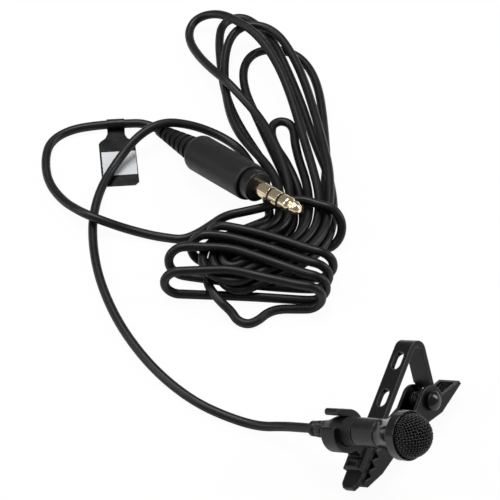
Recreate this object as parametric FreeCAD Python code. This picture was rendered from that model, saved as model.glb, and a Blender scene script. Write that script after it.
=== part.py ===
"""Clip-on microphone with its cord and plug. Millimetres, Z up, the clip's base centre at the origin."""
import FreeCAD, Part
import math
import os

V = FreeCAD.Vector
os.makedirs("parts", exist_ok=True)

# World = table point of the routes below minus this
TABLE = V(27.56, -56.74, 0.0)


def world(x, y, z=0.0):
    return V(x, y, z) - TABLE


def save(name, shape, place=None):
    shape = shape.copy()
    if place is not None:
        shape.Placement = place.multiply(shape.Placement)
    assert shape.isValid(), name
    shape.exportStep("parts/%s.step" % name)
    box = shape.BoundBox
    print("%-18s %8.1f mm3  x %.2f..%.2f  y %.2f..%.2f  z %.2f..%.2f  solids %d faces %d" % (
        name, shape.Volume, box.XMin, box.XMax, box.YMin, box.YMax, box.ZMin, box.ZMax,
        len(shape.Solids), len(shape.Faces)))
    return shape


def turned(points, smooth=()):
    """Revolve a closed outline of (x, r) about the x axis; an index in smooth is an arc's middle point."""
    edges = []
    n = len(points)
    k = 0
    while k < n:
        a = V(points[k][0], points[k][1], 0)
        if (k + 1) % n in smooth:
            m = V(points[(k + 1) % n][0], points[(k + 1) % n][1], 0)
            b = V(points[(k + 2) % n][0], points[(k + 2) % n][1], 0)
            edges.append(Part.Arc(a, m, b).toShape())
            k += 2
        else:
            b = V(points[(k + 1) % n][0], points[(k + 1) % n][1], 0)
            edges.append(Part.makeLine(a, b))
            k += 1
    face = Part.Face(Part.Wire(edges))
    return face.revolve(V(0, 0, 0), V(1, 0, 0), 360)


def rod(x0, x1, r, y=0.0, z=0.0):
    return Part.makeCylinder(r, x1 - x0, V(x0, y, z), V(1, 0, 0))


def block(x0, x1, y0, y1, z0, z1):
    return Part.makeBox(x1 - x0, y1 - y0, z1 - z0, V(x0, y0, z0))


def plate(points, x0, x1):
    """Flat outline of (y, z) points, thick along x from x0 to x1."""
    wire = Part.makePolygon([V(x0, y, z) for y, z in points + [points[0]]])
    return Part.Face(wire).extrude(V(x1 - x0, 0, 0))


def edge_plate(edges, x0, x1):
    return Part.Face(Part.Wire(edges)).extrude(V(x1 - x0, 0, 0))


def polar(cy, cz, r, degrees):
    a = math.radians(degrees)
    return (cy + r * math.cos(a), cz + r * math.sin(a))


# The clip's own frame: x along the microphone, y along the arm towards its arch, z out of the arm.
# Its origin is the middle of the pivot pin.
PIVOT = V(7.67, 10.18, 4.78)
CLIP_TURN = FreeCAD.Rotation(V(0, 0, 1), -35.8)
CLIP_TURN = CLIP_TURN.multiply(FreeCAD.Rotation(V(0, 1, 0), -31.5))
CLIP_TURN = CLIP_TURN.multiply(FreeCAD.Rotation(V(1, 0, 0), 24.4))
CLIP = FreeCAD.Placement(PIVOT, CLIP_TURN)
MIC_Y, MIC_Z = -15.9, 17.7
MIC = CLIP.multiply(FreeCAD.Placement(V(0, MIC_Y, MIC_Z), FreeCAD.Rotation()))

# Microphone, x from the middle of the holder's ring towards the grille
BOOT_R = 2.95
GRILLE_X, GRILLE_R, MESH = 18.5, 4.5, 0.25

boot = turned([
    (-8.3, 1.0), (-8.3, 1.6), (-7.6, 1.6), (-4.1, 1.9), (-2.9, 2.2), (-1.9, 2.6), (-0.5, BOOT_R),
    (4.8, BOOT_R), (5.0, 2.75), (5.0, 2.4), (3.2, 2.4), (3.2, 1.9), (-0.6, 1.9), (-0.6, 1.0)], smooth=(4,))
for k in range(3):
    x = -6.9 + 1.35 * k
    for side in (0, 180):
        slot = block(x - 0.28, x + 0.28, -2.2, 2.2, 1.25, 2.4)
        slot.rotate(V(0, 0, 0), V(1, 0, 0), side + 35 + 90 * (k % 2))
        boot = boot.cut(slot)
for k in range(4):
    x = 2.6 + 0.55 * k
    boot = boot.cut(turned([(x - 0.12, 3.2), (x + 0.12, 3.2), (x + 0.12, 2.87), (x - 0.12, 2.87)]))
save("rear_boot", boot, MIC)

save("cord_tail", rod(-8.3, 2.4, 1.0).fuse(rod(2.4, 13.4, 0.35)), MIC)
save("cord_crimp", turned([(-0.4, 1.0), (-0.4, 1.9), (1.0, 1.9), (1.0, 1.45), (2.2, 1.45), (2.2, 1.0)]), MIC)
save("barrel", turned([
    (3.2, 1.7), (3.2, 2.4), (5.0, 2.4), (5.0, 2.75), (5.2, BOOT_R), (10.8, BOOT_R), (11.0, 2.75), (11.0, 2.45),
    (12.2, 2.45), (12.2, 1.7)]), MIC)
cup = turned([
    (11.0, 2.45), (11.0, 2.75), (11.2, BOOT_R), (13.2, 3.3), (16.2, 4.7), (16.35, 4.95), (18.4, 4.95), (18.5, 4.87),
    (18.5, 4.72), (17.3, 4.72), (17.3, GRILLE_R), (16.9, GRILLE_R), (16.9, 3.4), (14.6, 3.4), (14.6, 2.45)], smooth=(3,))
save("head_cup", cup, MIC)
save("capsule_board", rod(13.4, 14.0, 2.3).fuse(rod(14.0, 14.6, 0.3, 1.2)).fuse(rod(14.0, 14.6, 0.3, -1.2)), MIC)
can = turned([(14.6, 0.0), (14.6, 2.9), (14.75, 3.0), (17.9, 3.0), (18.0, 2.9), (18.0, 0.6), (17.7, 0.6), (17.7, 0.0)])
save("capsule_can", can, MIC)
save("capsule_gasket", turned([(14.9, 3.0), (14.9, 3.4), (16.9, 3.4), (16.9, 3.0)]), MIC)
save("grille_ring", turned([(16.9, 3.8), (16.9, 4.25), (18.2, 4.25), (18.2, 3.8)]), MIC)


def dome(r, x0, x1):
    """Half ball of radius r on a straight skirt from x0 to x1."""
    a = math.sqrt(0.5) * r
    return turned([(x0, 0.0), (x0, r), (x1, r), (x1 + a, a), (x1 + r, 0.0)], smooth=(3,))


grille = dome(GRILLE_R, 16.9, GRILLE_X).cut(dome(GRILLE_R - MESH, 16.0, GRILLE_X))
save("grille_dome", grille, MIC)
foam = dome(GRILLE_R - MESH, 18.2, GRILLE_X)
save("grille_foam", foam, MIC)

# Clip arm: one bent strip, from its tip over the arch and back to two ears on the pin
ARM_T, ARM_W = 1.15, 4.5
ARM_TOP, ARM_TIP = 10.5, -25.2
BEND_R = 1.8
LEG = math.radians(-131.0)
bend_y = 9.3 - BEND_R - ARM_T / 2
bend_z = ARM_TOP - ARM_T / 2 - BEND_R
ro, ri = BEND_R + ARM_T / 2, BEND_R - ARM_T / 2
LEG_LENGTH = 9.6
leg_y, leg_z = math.cos(LEG), math.sin(LEG)


def on_bend(r, turn):
    """Point of radius r after this turn, in radians, round the arch."""
    return V(0, bend_y + r * math.sin(turn), bend_z + r * math.cos(turn))


end_o = on_bend(ro, -LEG)
end_i = on_bend(ri, -LEG)
run = V(0, leg_y, leg_z) * LEG_LENGTH
arm = edge_plate([
    Part.makeLine(V(0, ARM_TIP, ARM_TOP), on_bend(ro, 0)),
    Part.Arc(on_bend(ro, 0), on_bend(ro, -LEG / 2), end_o).toShape(),
    Part.makeLine(end_o, end_o + run),
    Part.makeLine(end_o + run, end_i + run),
    Part.makeLine(end_i + run, end_i),
    Part.Arc(end_i, on_bend(ri, -LEG / 2), on_bend(ri, 0)).toShape(),
    Part.makeLine(on_bend(ri, 0), V(0, ARM_TIP, ARM_TOP - ARM_T)),
    Part.makeLine(V(0, ARM_TIP, ARM_TOP - ARM_T), V(0, ARM_TIP, ARM_TOP)),
], 0, ARM_W)
arm.translate(V(-ARM_W / 2, 0, 0))
# The tip has a rounded and a bevelled corner
corner = Part.makePolygon([V(-2.3, ARM_TIP - 1, 9), V(-0.9, ARM_TIP - 1, 9), V(-2.3, ARM_TIP + 1.4, 9),
                           V(-2.3, ARM_TIP - 1, 9)])
arm = arm.cut(Part.Face(corner).extrude(V(0, 0, 3)).cut(
    Part.makeCylinder(1.5, 3, V(-0.75, ARM_TIP + 1.5, 9))))
corner = Part.makePolygon([V(2.3, ARM_TIP - 1, 9), V(0.9, ARM_TIP - 1, 9), V(0.9, ARM_TIP, 9),
                           V(2.3, ARM_TIP + 1.7, 9), V(2.3, ARM_TIP - 1, 9)])
arm = arm.cut(Part.Face(corner).extrude(V(0, 0, 3)))
# Three long slots and the hole of the holder's peg
for y in (3.7, -4.8, -13.2):
    slot = block(-1.2, 1.2, y - 0.8, y + 0.8, 9, 11)
    slot = slot.fuse(Part.makeCylinder(1.2, 2, V(0, y - 0.8, 9))).fuse(Part.makeCylinder(1.2, 2, V(0, y + 0.8, 9)))
    arm = arm.cut(slot)
arm = arm.cut(block(-1.2, 1.2, -21.0, -19.6, 9, 11))
# Ears: the leg is 3.9 wide near the pin, with a gap of 2.5 for the spring
EAR_OUT, EAR_IN, PIN_R = 1.95, 1.25, 0.8
ears = rod(-EAR_OUT, EAR_OUT, 1.75)
for side in (-1, 1):
    arm = arm.cut(rod(min(side * EAR_OUT, side * 2.4), max(side * EAR_OUT, side * 2.4), 3.5))
arm = arm.fuse(ears).removeSplitter()
arm = arm.cut(rod(-EAR_IN, EAR_IN, 2.9))
hole = Part.makeCylinder(0.5, 4, V(0, 0, 0) - V(0, leg_y, leg_z) * 4.6 + V(0, -0.755, 0.656) * 3, V(0, 0.755, -0.656))
arm = arm.cut(hole)
arm = arm.cut(rod(-3, 3, PIN_R))
save("clip_arm", arm, CLIP)

# Holder: open ring for the microphone, with a straight lip, a neck and a foot on the arm
RING_IN, RING_OUT, RING_W = 2.98, 4.4, 1.8
c = (MIC_Y, MIC_Z)
full = rod(-RING_W, RING_W, RING_OUT, *c)
gap_pts = [c] + [polar(c[0], c[1], 9, d) for d in (26, 56, 86, 116)]
full = full.cut(plate(gap_pts, -3, 3))
lip_in, lip_out, lip_len = 2.98, 4.4, 3.5
u = (math.cos(math.radians(26)), math.sin(math.radians(26)))
w = (-u[1], u[0])


def lip_point(r, t):
    return (c[0] + u[0] * r + w[0] * t, c[1] + u[1] * r + w[1] * t)


lip = plate([lip_point(lip_in, 0.0), lip_point(lip_out, 0.0),
             lip_point(lip_out, lip_len - 0.7), lip_point(lip_in, lip_len - 0.7)], -RING_W, RING_W)
m = lip_point((lip_in + lip_out) / 2, lip_len - 0.7)
lip = lip.fuse(rod(-RING_W, RING_W, (lip_out - lip_in) / 2, *m))
e = polar(c[0], c[1], (RING_IN + RING_OUT) / 2, 116)
full = full.fuse(lip).fuse(rod(-RING_W, RING_W, (RING_OUT - RING_IN) / 2, *e))
neck = plate([(-18.6, 11.6), (-12.9, 11.6), (-13.4, 14.6), (-18.2, 14.6)], -RING_W, RING_W)
foot = block(-2.25, 2.25, -21.5, -12.6, ARM_TOP, 11.7)
holder = full.fuse(neck).fuse(foot)
holder = holder.fuse(block(-1.75, 1.75, -21.2, -19.3, 11.6, 12.05)).cut(block(-1.2, 1.2, -20.8, -19.7, 11.75, 12.1))
holder = holder.fuse(block(-1.15, 1.15, -20.95, -19.65, 9.3, ARM_TOP + 0.1))
holder = holder.fuse(block(-1.5, 1.5, -21.3, -19.3, 8.85, ARM_TOP - ARM_T))
holder = holder.cut(rod(-3, 3, RING_IN, *c)).removeSplitter()
holder = holder.cut(block(-2.3, -1.1, -17.4, -16.3, 11.0, 12.6))
save("holder", holder, CLIP)

# Rear jaw: a channel with teeth at its tip and a shallow tray as its finger wing
WALL_OUT, WALL_IN = 2.8, 2.05
teeth = []
tooth = 2.15
for k in range(4):
    y = -23.5 + tooth * k
    teeth += [(y, 8.25), (y + 0.5, 9.3), (y + 0.9, 9.3)]
outline = [(-23.7, 8.2)] + teeth + [(-14.6, 8.3), (-3.5, 3.2), (0.0, 3.2), (2.4, -2.1), (7.4, -5.35),
                                    (7.15, -6.15), (-0.6, -4.0), (-4.2, -1.4), (-13.6, 3.9), (-19.4, 5.7)]
jaw = None
for side in (-1, 1):
    x0 = min(side * WALL_IN, side * WALL_OUT)
    x1 = max(side * WALL_IN, side * WALL_OUT)
    wall = plate(outline, x0, x1).fuse(rod(x0, x1, 3.2))
    wall = wall.cut(plate([(-5, -2.6), (-5, -9), (8, -9), (8, -6.39), (7.15, -6.15), (-0.6, -4.0), (-4.2, -1.4)], -4, 4))
    jaw = wall if jaw is None else jaw.fuse(wall)
back = [(-23.7, 8.2), (-19.4, 5.7), (-13.6, 3.9), (-4.2, -1.4), (-0.6, -4.0), (7.15, -6.15)]
inner = [(7.27, -5.75), (-0.3, -3.4), (-3.75, -0.75), (-13.35, 4.65), (-19.1, 6.4), (-23.3, 8.8)]
jaw = jaw.fuse(plate(back + inner, -WALL_OUT, WALL_OUT))
jaw = jaw.fuse(plate([(7.15, -6.15), (7.4, -5.35), (6.75, -4.95), (6.5, -5.95)], -WALL_OUT, WALL_OUT))
jaw = jaw.removeSplitter()
jaw = jaw.cut(rod(-4, 4, PIN_R + 0.04))
save("rear_jaw", jaw, CLIP)

# Pivot pin with a domed head, its rear cap and the spring between the ears
# The head's face is a cap of a ball of radius 2.9 about a point on the pin's axis
DOME_R, DOME_X = 2.9, 1.6
half = math.asin(2.0 / DOME_R) / 2
middle = (DOME_X + DOME_R * math.cos(half), DOME_R * math.sin(half))
edge = (DOME_X + math.sqrt(DOME_R ** 2 - 2.0 ** 2), 2.0)
save("pivot_pin", turned([(-3.6, 0.0), (-3.6, PIN_R), (2.85, PIN_R), (2.85, 1.5), (3.2, 1.5), (3.2, 2.0), edge,
                          middle, (DOME_X + DOME_R, 0.0)], smooth=(7,)), CLIP)
save("pin_cap", turned([(-2.85, PIN_R), (-2.85, 1.6), (-3.9, 1.6), (-4.05, 1.45), (-4.05, 0.0), (-3.6, 0.0),
                        (-3.6, PIN_R)]), CLIP)


def pipe(edges, r, start, direction):
    circle = Part.Wire([Part.makeCircle(r, start, direction)])
    shell = Part.BRepOffsetAPI.MakePipeShell(Part.Wire(edges))
    shell.add(circle)
    shell.build()
    shell.makeSolid()
    return shell.shape()


def biarc(p0, t0, p1, t1):
    """Two arcs from p0 with direction t0 to p1 with direction t1."""
    v = p1 - p0
    t0 = V(t0).normalize()
    t1 = V(t1).normalize()
    t = t0 + t1
    denominator = 2.0 * (1.0 - t0.dot(t1))
    vt = v.dot(t)
    if denominator < 1e-9:
        side = v.dot(t1)
        if abs(side) < 1e-9:
            d = v.Length / 2
        else:
            d = v.dot(v) / (4 * side)
    else:
        d = (-vt + math.sqrt(vt * vt + denominator * v.dot(v))) / denominator
    q0 = p0 + t0 * d
    q1 = p1 - t1 * d
    middle = (q0 + q1) * 0.5
    out = []
    for a, ta, b in ((p0, t0, middle), (p1, t1 * -1.0, middle)):
        chord = b - a
        length = chord.Length
        cosine = chord.dot(ta) / length
        if cosine > 0.9999999:
            out.append((a, None, b))
            continue
        normal = (chord - ta * chord.dot(ta)).normalize()
        sine = math.sqrt(max(0.0, 1 - cosine * cosine))
        radius = length / (2 * sine)
        centre = a + normal * radius
        half = math.atan2(sine, cosine)
        via = centre - normal * radius * math.cos(half) + ta * radius * math.sin(half)
        out.append((a, via, b, radius, centre))
    first, second = out
    flipped = (second[2], second[1], second[0]) + tuple(second[3:])
    return [first, flipped]


def arc_edge(piece):
    if piece[1] is None:
        return Part.makeLine(piece[0], piece[2])
    return Part.Arc(piece[0], piece[1], piece[2]).toShape()


def directions(points, first=None, last=None):
    """At each point the direction of the circle through it and its two neighbours."""
    out = []
    n = len(points)
    for k in range(n):
        if k in (0, n - 1):
            out.append(None)
            continue
        a = points[k] - points[k - 1]
        b = points[k + 1] - points[k]
        la, lb = a.Length, b.Length
        out.append((a * (lb / la) + b * (la / lb)).normalize())
    out[0] = first or (points[1] - points[0]).normalize() * 2 - out[1]
    out[-1] = last or (points[-1] - points[-2]).normalize() * 2 - out[-2]
    return [V(t).normalize() for t in out]


# Torsion spring round the pin, with a leg along the arm's return and one in the wing's tray
SPRING_WIRE, COIL_R, COILS = 0.4, 1.45, 4
coil = []
for k in range(8 * COILS + 1):
    a = math.radians(-62.0 + 45.0 * k)
    coil.append(V(-0.95 + 1.9 * k / (8.0 * COILS), COIL_R * math.sin(a), COIL_R * math.cos(a)))
coil_dir = directions(coil)
spring_path = []
for k in range(len(coil) - 1):
    spring_path += biarc(coil[k], coil_dir[k], coil[k + 1], coil_dir[k + 1])
leg_a = coil[0] - coil_dir[0] * 2.6
leg_b = coil[-1] + coil_dir[-1] * 3.2
spring_edges = [Part.makeLine(leg_a, coil[0])] + [arc_edge(p) for p in spring_path]
spring_edges += [Part.makeLine(coil[-1], leg_b)]
save("torsion_spring", pipe(spring_edges, SPRING_WIRE / 2, leg_a, coil_dir[0]), CLIP)

# Plug: x forwards from the middle of the handle's back edge
PLUG_AT = world(-11.9, 25.4, 4.95)
PLUG_DIR = V(0.62, -0.745, 0.25).normalize()
yaw = math.degrees(math.atan2(PLUG_DIR.y, PLUG_DIR.x))
pitch = -math.degrees(math.asin(PLUG_DIR.z))
PLUG = FreeCAD.Placement(PLUG_AT, FreeCAD.Rotation(V(0, 0, 1), yaw).multiply(FreeCAD.Rotation(V(0, 1, 0), pitch)))
BASE = 22.3
PIN_LENGTH, PIN_RADIUS = 14.0, 1.75
save("plug_handle", turned([
    (-0.6, 2.0), (-0.6, 2.9), (0.0, 3.3), (1.6, 4.2), (18.9, 4.2), (19.5, 3.9), (19.5, 2.75), (6.0, 2.75), (6.0, 2.0)]), PLUG)
save("plug_collar", turned([(6.0, 1.5), (6.0, 2.75), (19.5, 2.75), (19.5, 3.45), (22.0, 3.45), (22.3, 3.2), (22.3, 1.5)]), PLUG)
relief = [(-13.7, 1.0), (-13.7, 1.35)]
for k in range(6):
    x = -12.9 + 2.0 * k
    r = 1.45 + 0.24 * k
    relief += [(x, r), (x + 1.25, r + 0.14), (x + 1.25, r - 0.3), (x + 1.9, r - 0.26)]
relief += [(-0.8, 2.85), (-0.6, 2.9), (-0.6, 2.0), (3.0, 2.0), (3.0, 1.0)]
save("plug_strain_relief", turned(relief), PLUG)
b = BASE
save("plug_sleeve", turned([(b - 4.0, 1.25), (b - 4.0, 1.5), (b, 1.5), (b, PIN_RADIUS), (b + 4.6, PIN_RADIUS),
                            (b + 4.6, 1.25)]), PLUG)
save("plug_band_rear", turned([(b - 5.0, 0.95), (b - 5.0, 1.25), (b + 4.6, 1.25), (b + 4.6, PIN_RADIUS), (b + 5.2, PIN_RADIUS),
                               (b + 5.2, 0.95)]), PLUG)
save("plug_ring", turned([(b - 6.0, 0.7), (b - 6.0, 0.95), (b + 5.2, 0.95), (b + 5.2, PIN_RADIUS), (b + 7.8, PIN_RADIUS),
                          (b + 7.8, 0.7)]), PLUG)
save("plug_band_front", turned([(b - 7.0, 0.45), (b - 7.0, 0.7), (b + 7.8, 0.7), (b + 7.8, PIN_RADIUS), (b + 8.4, PIN_RADIUS),
                                (b + 8.4, 0.45)]), PLUG)
save("plug_tip", turned([(b - 8.0, 0.0), (b - 8.0, 0.45), (b + 8.4, 0.45), (b + 8.4, PIN_RADIUS), (b + 10.6, PIN_RADIUS),
                         (b + 11.4, 1.15), (b + 12.3, 1.6), (b + 13.4, 1.2), (b + 14.0, 0.5), (b + 14.0, 0.0)]), PLUG)
# The cord's end inside the plug, as far as the solder joints
save("plug_cord_end", rod(-13.7, 3.0, 1.0).fuse(rod(3.0, 14.3, 0.35)), PLUG)

# The cord's free runs: straight runs with an arc at each point between them
CORD_R = 1.0


def free_cord(name, points, length_note):
    """Runs through the points with rounded turns, and the tube on them."""
    n = len(points)
    cuts = []
    radii = []
    for k in range(1, n - 1):
        a, b = points[k - 1] - points[k], points[k + 1] - points[k]
        la, lb = a.Length, b.Length
        turn = math.pi - a.getAngle(b)
        cut = 0.45 * min(la, lb)
        radii.append(cut / math.tan(turn / 2))
        cuts.append((points[k] + a.normalize() * cut, cut, turn, points[k] + b.normalize() * cut, points[k]))
    edges = []
    at = points[0]
    total = 0.0
    for (p, cut, turn, q, corner), r in zip(cuts, radii):
        edges.append(Part.makeLine(at, p))
        total += (p - at).Length + r * turn
        back = ((p - corner).normalize() + (q - corner).normalize()).normalize()
        reach = math.hypot(r, cut) - r
        edges.append(Part.Arc(p, corner + back * reach, q).toShape())
        at = q
    edges.append(Part.makeLine(at, points[-1]))
    total += (points[-1] - at).Length
    tube = pipe(edges, CORD_R, points[0], points[1] - points[0])
    box = tube.optimalBoundingBox()
    ratio = tube.Volume / (math.pi * CORD_R ** 2 * total)
    print("%s: length %.1f, radii %s, volume ratio %.4f, bottom %.2f" % (
        length_note, total, " ".join("%.1f" % r for r in radii), ratio, box.ZMin))
    save(name, tube)
    return total


def level(n):
    """Height of the cord's middle on layer n, layers 2.5 apart."""
    return 1.05 + 2.5 * n


MIC_END = MIC.multVec(V(-8.3, 0, 0))
MIC_OUT = CLIP_TURN.multVec(V(-1, 0, 0))
mic_route = [MIC_END, MIC_END + MIC_OUT * 3.2]
mic_route += [world(*p) for p in (
    (6.8, -53.0, 4.2), (1.8, -51.0, 1.6), (-4.6, -48.0, 1.05), (-11.2, -44.1, 1.05), (-17.8, -37.8, 1.05),
    (-23.4, -30.2, 1.05), (-28.2, -21.4, 1.05), (-31.9, -11.4, 1.05), (-33.9, -2.0, 1.05), (-34.6, 8.0, 1.05),
    (-33.2, 17.0, 1.5), (-29.9, 24.8, 1.8), (-25.2, 31.5, 4.2), (-19.6, 36.0, 4.7),
    (-13.2, 37.4, 3.2), (-7.8, 34.8, 1.3), (-3.6, 31.0, 1.2))]
ENTRY = world(-1.4, 27.4, 1.75)
mic_route.append(ENTRY)
mic_length = free_cord("cord_mic_side", mic_route, "cord_mic_side")
ENTRY_DIR = (mic_route[-1] - mic_route[-2]).normalize()

RELIEF_END = PLUG.multVec(V(-13.7, 0, 0))
EXIT = world(-14.6, 2.05, 1.05)
plug_route = [RELIEF_END, RELIEF_END - PLUG_DIR * 1.8]
plug_route += [world(*p) for p in (
    (-22.8, 37.6, 1.2), (-26.4, 38.05, 1.25), (-34.2, 37.465, 1.25), (-39.4, 35.6, 1.05), (-43.8, 32.4, 1.05),
    (-46.2, 26.6, 1.05), (-45.2, 20.4, 1.05), (-41.8, 14.8, 1.7), (-37.6, 10.2, 3.6), (-32.2, 7.0, 3.6),
    (-26.6, 4.9, 1.7), (-21.6, 3.4, 1.05), (-18.0, 2.6, 1.05))]
plug_route.append(EXIT)
plug_length = free_cord("cord_plug_side", plug_route, "cord_plug_side")
EXIT_DIR = (plug_route[-2] - plug_route[-1]).normalize()

# Tag: a sleeve on the cord, a neck and a flag lying on the table, with a bare pale label on it
TAG_A, TAG_B = world(-32.4, 37.6, 1.25), world(-28.4, 37.9, 1.25)
tag_axis = TAG_B - TAG_A
flag = [(-32.35, 37.7), (-32.2, 35.5), (-32.6, 34.1), (-33.7, 32.95), (-34.05, 32.2), (-32.85, 20.3), (-32.2, 19.05),
        (-25.4, 19.6), (-24.6, 20.6), (-25.85, 32.6), (-26.4, 33.55), (-27.7, 34.2), (-28.25, 35.4), (-28.4, 37.9)]
wire = Part.makePolygon([world(x, y, 0.05) for x, y in flag + flag[:1]])
tag = Part.Face(wire).extrude(V(0, 0, 0.32))
tag = tag.fuse(Part.makeCylinder(1.2, tag_axis.Length, TAG_A, tag_axis))
long_a = TAG_A - tag_axis
tag = tag.cut(Part.makeCylinder(CORD_R + 0.03, 3 * tag_axis.Length, long_a, tag_axis)).removeSplitter()
save("cord_tag", tag)
label = [(-33.35, 29.5), (-25.7, 30.1), (-25.05, 22.8), (-32.6, 22.1)]
wire = Part.makePolygon([world(x, y, 0.37) for x, y in label + label[:1]])
save("tag_label", Part.Face(wire).extrude(V(0, 0, 0.08)))

# Hank: five long loops in two layers, three and two bends at their lower end, and four turns round them.
# Its spine runs from the waist down, bends by 60 degrees and goes on for SPINE_RUN.
WAIST_X, WAIST_Y = 12.55, 6.5
SLOT = 2.5
SPINE_R, SPINE_TURN, SPINE_RUN = 12.0, 60.0, 11.0


def slot_offset(n):
    """Offset of slot n from the spine, towards +x at the waist."""
    return (n - 2.5) * SLOT


def spine(s, d):
    """Table point at length s along the spine, d to its left."""
    bend = SPINE_R * math.radians(SPINE_TURN)
    cx, cy = WAIST_X - SPINE_R, WAIST_Y
    if s < bend:
        a = s / SPINE_R
        return (cx + (SPINE_R + d) * math.cos(a), cy - (SPINE_R + d) * math.sin(a))
    a = math.radians(SPINE_TURN)
    x = cx + (SPINE_R + d) * math.cos(a) - (s - bend) * math.sin(a)
    y = cy - (SPINE_R + d) * math.sin(a) - (s - bend) * math.cos(a)
    return (x, y)


BEND = SPINE_R * math.radians(SPINE_TURN)
SPINE_END = BEND + SPINE_RUN
STEPS = [0.0, BEND / 3, 2 * BEND / 3, BEND, BEND + SPINE_RUN / 2, SPINE_END - 1.2]


def lower_side(slot, z, rise=0.0):
    """Down one slot of the lower end, from the waist to the start of its half turn."""
    return [spine(s, slot_offset(slot)) + (z - rise * (1 - k / 5.0),) for k, s in enumerate(STEPS)]


def half_turn(down, up, z, quarters=4):
    mid = spine(SPINE_END, (slot_offset(down) + slot_offset(up)) / 2)
    head = math.radians(-90.0 - SPINE_TURN)
    side = 1 if up > down else -1
    r = abs(up - down) * SLOT / 2
    out = []
    for k in range(quarters + 1):
        a = head + side * (math.pi * k / 4 - math.pi / 2)
        out.append((mid[0] + r * math.cos(a), mid[1] + r * math.sin(a), z))
    return out


def lower_loop(down, up, layer, rise=0.0):
    """Down one slot, round the half turn at the spine's end, and up another slot."""
    z = level(layer)
    return lower_side(down, z, rise) + half_turn(down, up, z) + lower_side(up, z)[::-1]


def fall(y):
    """The long loops slope down to the table between the waist and their tips."""
    t = max(0.0, min(1.0, (y - 16.0) / 26.0))
    return 2.4 * t * t * (3 - 2 * t)


def upper_loop(up, tip, radius, heading, down, layer, drop=None):
    """Up through the points, round the tip's half turn and down through the others.

    A drop of (y0, y1) takes the strand going up one layer down between those two places.
    """
    out = []
    for x, y in up:
        t = 0.0 if drop is None else max(0.0, min(1.0, (y - drop[0]) / (drop[1] - drop[0])))
        out.append((x, y, level(layer - t) - fall(y)))
    end = layer if drop is None else layer - 1
    h = math.radians(heading)
    for k in range(5):
        a = h - math.pi / 2 + math.pi * k / 4
        x, y = tip[0] + radius * math.cos(a), tip[1] + radius * math.sin(a)
        out.append((x, y, level(end) - fall(y)))
    return out + [(x, y, level(end) - fall(y)) for x, y in down]


hank = [(0.8, 22.2, 2.6), (2.4, 17.0, 3.4), (3.5, 11.5, 4.2)]
hank += lower_loop(-1, 5, 2, rise=1.1)
hank += upper_loop([(18.6, 13.0), (16.9, 22.0), (13.9, 32.0), (10.2, 42.0), (5.8, 52.0), (0.6, 60.6)],
                   (-7.4, 64.4), 5.2, 118.0,
                   [(-9.6, 53.0), (-5.0, 45.6), (-0.2, 37.4), (3.0, 29.0), (5.1, 21.0), (6.2, 13.0)], 2)
hank += lower_loop(0, 4, 2)
hank += upper_loop([(16.1, 13.0), (14.1, 21.8), (11.2, 31.0), (7.6, 40.0), (3.8, 47.6)],
                   (-0.9, 51.6), 3.0, 116.0,
                   [(-1.0, 44.6), (2.4, 37.6), (5.6, 29.2), (7.7, 21.0), (8.7, 13.0)], 2)
hank += lower_loop(1, 3, 2)
hank += upper_loop([(13.5, 13.0), (11.4, 20.5), (9.7, 27.4), (8.8, 33.0)],
                   (5.9, 38.6), 2.7, 100.0,
                   [(5.2, 32.8), (7.7, 26.2), (10.0, 19.8), (11.2, 13.0)], 2, (24.0, 32.0))
hank += lower_loop(2, 4, 1)
hank += upper_loop([(16.2, 13.0), (15.2, 23.0), (13.2, 33.0), (10.6, 43.0), (7.2, 52.0)],
                   (1.8, 57.6), 4.4, 110.0,
                   [(-2.2, 50.0), (-1.0, 42.0), (2.1, 33.0), (6.2, 23.0), (8.5, 13.0)], 1)
hank += lower_loop(1, 5, 1)
hank += upper_loop([(18.7, 13.0), (17.6, 24.0), (15.4, 36.0), (12.6, 48.0), (8.8, 60.0)],
                   (-0.4, 67.6), 5.6, 105.0,
                   [(-7.2, 60.0), (-5.9, 50.0), (-3.8, 41.0), (-0.3, 31.6), (3.9, 21.6), (6.0, 13.0)], 1)

# The turns round the lower end: tops at layer 3, bottoms on the table, the top strands' y at four places
TURN_X = (-12.0, -4.0, 4.0, 12.0)
TOPS = ((-13.0, -12.6, -15.2, -17.5), (-6.0, -6.4, -10.0, -13.9), (-1.8, -3.2, -6.2, -10.1),
        (0.8, -0.2, -2.5, -6.3), (4.4, 4.0, 2.0, -2.0))
LEFT = (-15.0, -11.2, -9.0, -5.3)
RIGHT = (13.0, 14.0, 14.6, 15.6, 18.0)
TURN_R = (level(3) - level(0)) / 2


def strand_y(ys, x):
    """y of a strand at x, straight between the four places and beyond them."""
    k = 0 if x < TURN_X[1] else 1 if x < TURN_X[2] else 2
    t = (x - TURN_X[k]) / (TURN_X[k + 1] - TURN_X[k])
    return ys[k] + t * (ys[k + 1] - ys[k])


def end_bend(x, side, y0, y1, up):
    """Half turn standing on edge at x, bulging to this side, from y0 to y1."""
    out = []
    for k in range(1, 4):
        a = math.pi * k / 4
        z = level(0) + TURN_R * (1 - math.cos(a) if up else 1 + math.cos(a))
        out.append((x + side * TURN_R * math.sin(a), y0 + (y1 - y0) * k / 4.0, z))
    return out


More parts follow.
